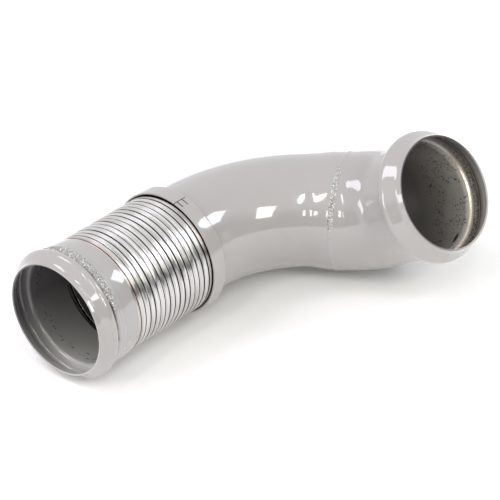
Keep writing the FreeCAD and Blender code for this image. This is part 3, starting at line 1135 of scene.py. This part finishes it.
@dataclass
class OutletEnd:
    """Girth weld and the bent stub with its beaded outlet."""

    line: PipeLine
    ring_count: int = 44
    weld_width: float = 7.2
    weld_height: float = 0.6
    weld_rows: int = 8
    weld_wall: float = 0.6
    # The skins of weld and stub start before the joint, and the weld's ends behind it
    lead: float = 20.0
    weld_tail: float = 34.0
    weld_ring_count: int = 27
    # Angles about the pipe from up towards the inside of the bend: the weld is roughest here
    rough_angles: Band = (20.0, 68.0, 14.0)
    least_rough: float = 0.25
    # Size and fineness of the ragged edge and of the two grains on the weld
    ragged: Span = (0.5, 0.7)
    grains: tuple[Span, ...] = ((1.0, 0.8), (0.6, 2.0))
    grain_height: float = 0.45
    # Rim sizes, measured back from the outlet rim
    rim: tuple[Ring, ...] = (
        Ring(31.5, 60.0, 3.5),
        Ring(26.0, 69.69, 7.0),
        Ring(19.0, 69.69, 9.0),
        Ring(6.0, 62.0, 10.0),
        Ring(0.0, 60.38),
    )

    def build(self, kit: Kit) -> None:
        """Builds the girth weld and the stub."""
        self.weld(kit)
        self.stub(kit)

    def weld(self, kit: Kit) -> None:
        """Low bead of fine ripples along the leaning joint."""
        point, normal = self.line.weld_plane()
        joint = self.line.elbow_end
        first, last = joint - self.lead, joint + self.weld_tail
        rings = Expansion(self.line).rings(first, last, self.weld_ring_count)
        bm = tube_skin(self.line, rings, FINE_SIDES)
        half = self.weld_width / 2
        cut_by_plane(bm, point + normal * half, normal, drop=1)
        cut_by_plane(bm, point - normal * half, normal, drop=-1)
        for row in range(1, self.weld_rows):
            cut_by_plane(bm, point + normal * (half * (2 * row / self.weld_rows - 1)), normal)
        rough_layer = bm.verts.layers.float.new(ROUGH_SHARE)
        bm.verts.layers.float.new(CRACK_SHADE_SHARE)
        bm.normal_update()
        upright = self.line.at(joint).inverted()
        ragged_size, ragged_scale = self.ragged
        for vert in bm.verts:
            angle, _ = about_axis(upright @ vert.co)
            share = min(1.0, abs((vert.co - point).dot(normal)) / half)
            rough = self.least_rough
            rough += (1 - self.least_rough) * share_in(angle, self.rough_angles)
            ragged = 1.3 * rough - share + ragged_size * noise.noise(vert.co * ragged_scale)
            vert[rough_layer] = rough * min(1.0, max(0.0, 3 * ragged))
            crown = math.cos(math.pi * share / 2) - 0.3
            grain = sum(size * noise.noise(vert.co * scale) for size, scale in self.grains)
            rise = self.weld_height * crown + self.grain_height * rough * grain * (1 - share)
            vert.co += vert.normal * rise
        give_wall(bm, self.weld_wall)
        finished(bm, "fine_girth_weld", "elbow_weld", Slot.WELD, kit.lay, kit.weld)

    def stub(self, kit: Kit) -> None:
        """Bent tube that tapers from the joint and ends in a beaded, flared mouth."""
        first = self.line.elbow_end - self.lead
        bend_end = self.line.length - self.line.stub_run_out
        rings = Expansion(self.line).rings(first, bend_end, self.ring_count)
        for ring in self.rim:
            rings.append(Ring(self.line.length - ring.distance, ring.radius, ring.rounding))
        bm = tube_skin(self.line, rings, cuts=8)
        cut_by_plane(bm, *self.line.weld_plane(), drop=-1)
        give_wall(bm, TUBE_WALL, RIM_ROUND)
        mark_inside(bm, self.line, (first, self.line.length + 1))
        skins = kit.paint, kit.outlet_bore
        finished(bm, "beaded_outlet_stub", "outlet_stub", Slot.PAINT, kit.lay, *skins)


# Studio


def heading(azimuth: float, elevation: float) -> Vector:
    """Unit vector from degrees of azimuth, from +Y towards +X, and degrees above the floor."""
    turn, rise = math.radians(azimuth), math.radians(elevation)
    return Vector((math.sin(turn) * math.cos(rise), math.cos(turn) * math.cos(rise), math.sin(rise)))


@dataclass(frozen=True)
class Lamp:
    """Flat studio lamp, given by the direction and the angles under which the part sees it."""

    name: str
    azimuth: float
    elevation: float
    width: float
    height: float
    radiance: float = 9.0
    colour: str = "#FFFDF4"
    shape: str = "RECTANGLE"
    distance: float = 2.2

    def hang(self, target: Vector) -> None:
        """Hangs the lamp so that it faces the target."""
        toward = heading(self.azimuth, self.elevation)
        data = bpy.data.lights.new(self.name, "AREA")
        data.shape = self.shape
        halves = (math.tan(math.radians(angle / 2)) for angle in (self.width, self.height))
        data.size, data.size_y = (2 * self.distance * half for half in halves)
        data.energy = self.radiance * math.pi * data.size * data.size_y
        data.color = linear(self.colour)[:3]
        lamp = placed(self.name, data)
        facing = toward.to_track_quat("Z", "Y").to_matrix().to_4x4()
        lamp.matrix_world = Matrix.Translation(target + toward * self.distance) @ facing


@dataclass(frozen=True)
class StudioPaper(Finish):
    """Matt paper of the floor."""

    shader: ClassVar[str] = "BsdfDiffuse"
    colour: str = "#FAFAFA"

    def inputs(self, tree: Tree) -> Inputs:
        """Adds no node: the paper has no pattern."""
        return {"Color": self.colour, "Roughness": 0.0}


@dataclass(frozen=True)
class Studio:
    """Pale floor, white surroundings, soft lamps and the camera of the photograph."""

    target: tuple[float, float, float] = (-0.00858, 0.01049, 0.07592)
    camera_azimuth: float = 47.92
    camera_elevation: float = 32.46
    camera_roll: float = -2.09
    camera_distance: float = 2.24099
    lens: float = 158.42
    sensor: float = 36.0
    floor_size: float = 6.0
    # What the paint mirrors: a room on the camera's side, dark up to a height, white paper beyond
    room_heights: Span = (0.34, 0.68)
    room_levels: Span = (0.04, 0.92)
    paper_edge: Span = (-0.06, 0.1)
    paper_level: float = 1.0
    # What lights the part, from the camera's side to the far side
    fill_edge: Span = (-0.5, 0.5)
    fill_levels: Span = (0.565, 0.82)
    lamps: tuple[Lamp, ...] = (
        Lamp("leg_window", 124.0, 35.5, 15.0, 17.0, 8.0, "#F4F6FF"),
        Lamp("elbow_window", 181.0, 32.0, 15.0, 20.0),
        Lamp("first_high_window", -146.0, 55.0, 4.6, 21.0, shape="ELLIPSE"),
        Lamp("second_high_window", -101.5, 54.0, 4.4, 22.0, shape="ELLIPSE"),
        Lamp("first_small_window", -138.4, 26.4, 3.5, 12.0),
        Lamp("second_small_window", -118.5, 26.0, 7.0, 12.0),
        Lamp("third_small_window", -108.0, 23.5, 1.8, 11.0),
        Lamp("stub_window", -36.0, 55.0, 20.0, 28.0, 4.5, "#F6F0FF", "ELLIPSE"),
        Lamp("left_window", -66.0, 20.0, 14.0, 26.0, 5.0, "#FFFFFF"),
    )

    def camera(self) -> None:
        """Adds the camera at the photograph's place."""
        forward = heading(self.camera_azimuth, -self.camera_elevation)
        data = bpy.data.cameras.new("photo_camera")
        data.lens = self.lens
        data.sensor_width = self.sensor
        camera = placed("photo_camera", data)
        aim = forward.to_track_quat("-Z", "Y").to_matrix().to_4x4()
        roll = Matrix.Rotation(math.radians(self.camera_roll), 4, "Z")
        place = Vector(self.target) - forward * self.camera_distance
        camera.matrix_world = Matrix.Translation(place) @ aim @ roll
        bpy.context.scene.camera = camera

    def floor(self) -> None:
        """Adds the pale floor, which keeps the part's shadow."""
        bm = bmesh.new()
        bmesh.ops.create_grid(bm, x_segments=1, y_segments=1, size=self.floor_size / 2)
        paper = StudioPaper().made("matt_studio_paper")
        floor = placed("studio_floor", mesh_data(bm, "studio_floor", paper))

    def world(self) -> None:
        """White surroundings, with a darker room on the camera's side for reflections."""
        world = bpy.data.worlds.new("studio_room")
        world.use_nodes = True
        tree = world.node_tree
        tree.nodes.clear()
        toward = parts_of(tree, node(tree, "TexCoord")["Generated"])
        room = ramp(tree, toward["Z"], self.room_heights, self.room_levels, True)
        beyond = ramp(tree, toward["Y"], self.paper_edge, smooth=True)
        fill = ramp(tree, toward["Y"], self.fill_edge, self.fill_levels)
        rays = node(tree, "LightPath")
        mirrored = mixed(tree, beyond, room, self.paper_level, "FLOAT")
        lit = mixed(tree, rays["Is Glossy Ray"], fill, mirrored, "FLOAT")
        seen = mixed(tree, rays["Is Camera Ray"], lit, 1.0, "FLOAT")
        sky = node(tree, "Background", {"Color": "#FFFFFF", "Strength": seen})
        node(tree, "OutputWorld", {"Surface": sky["Background"]})
        bpy.context.scene.world = world

    def build(self) -> None:
        """Sets up camera, floor, surroundings and lamps."""
        self.camera()
        self.floor()
        self.world()
        for lamp in self.lamps:
            lamp.hang(Vector(self.target))
        bpy.context.scene.view_settings.view_transform = "Standard"


def main() -> None:
    """Builds the pipe's pieces in order, then the studio."""
    logging.basicConfig(level=logging.INFO, format="%(message)s")
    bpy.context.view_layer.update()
    line = PipeLine()
    inlet = InletEnd(line)
    kit = Kit.for_pipe(line.laid(inlet.sleeve_middle), line)
    inlet.build(kit)
    WoundHose().build(kit)
    ElbowEnd(line).build(kit)
    OutletEnd(line).build(kit)
    Studio().build()
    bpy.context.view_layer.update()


if __name__ == "__main__":
    main()
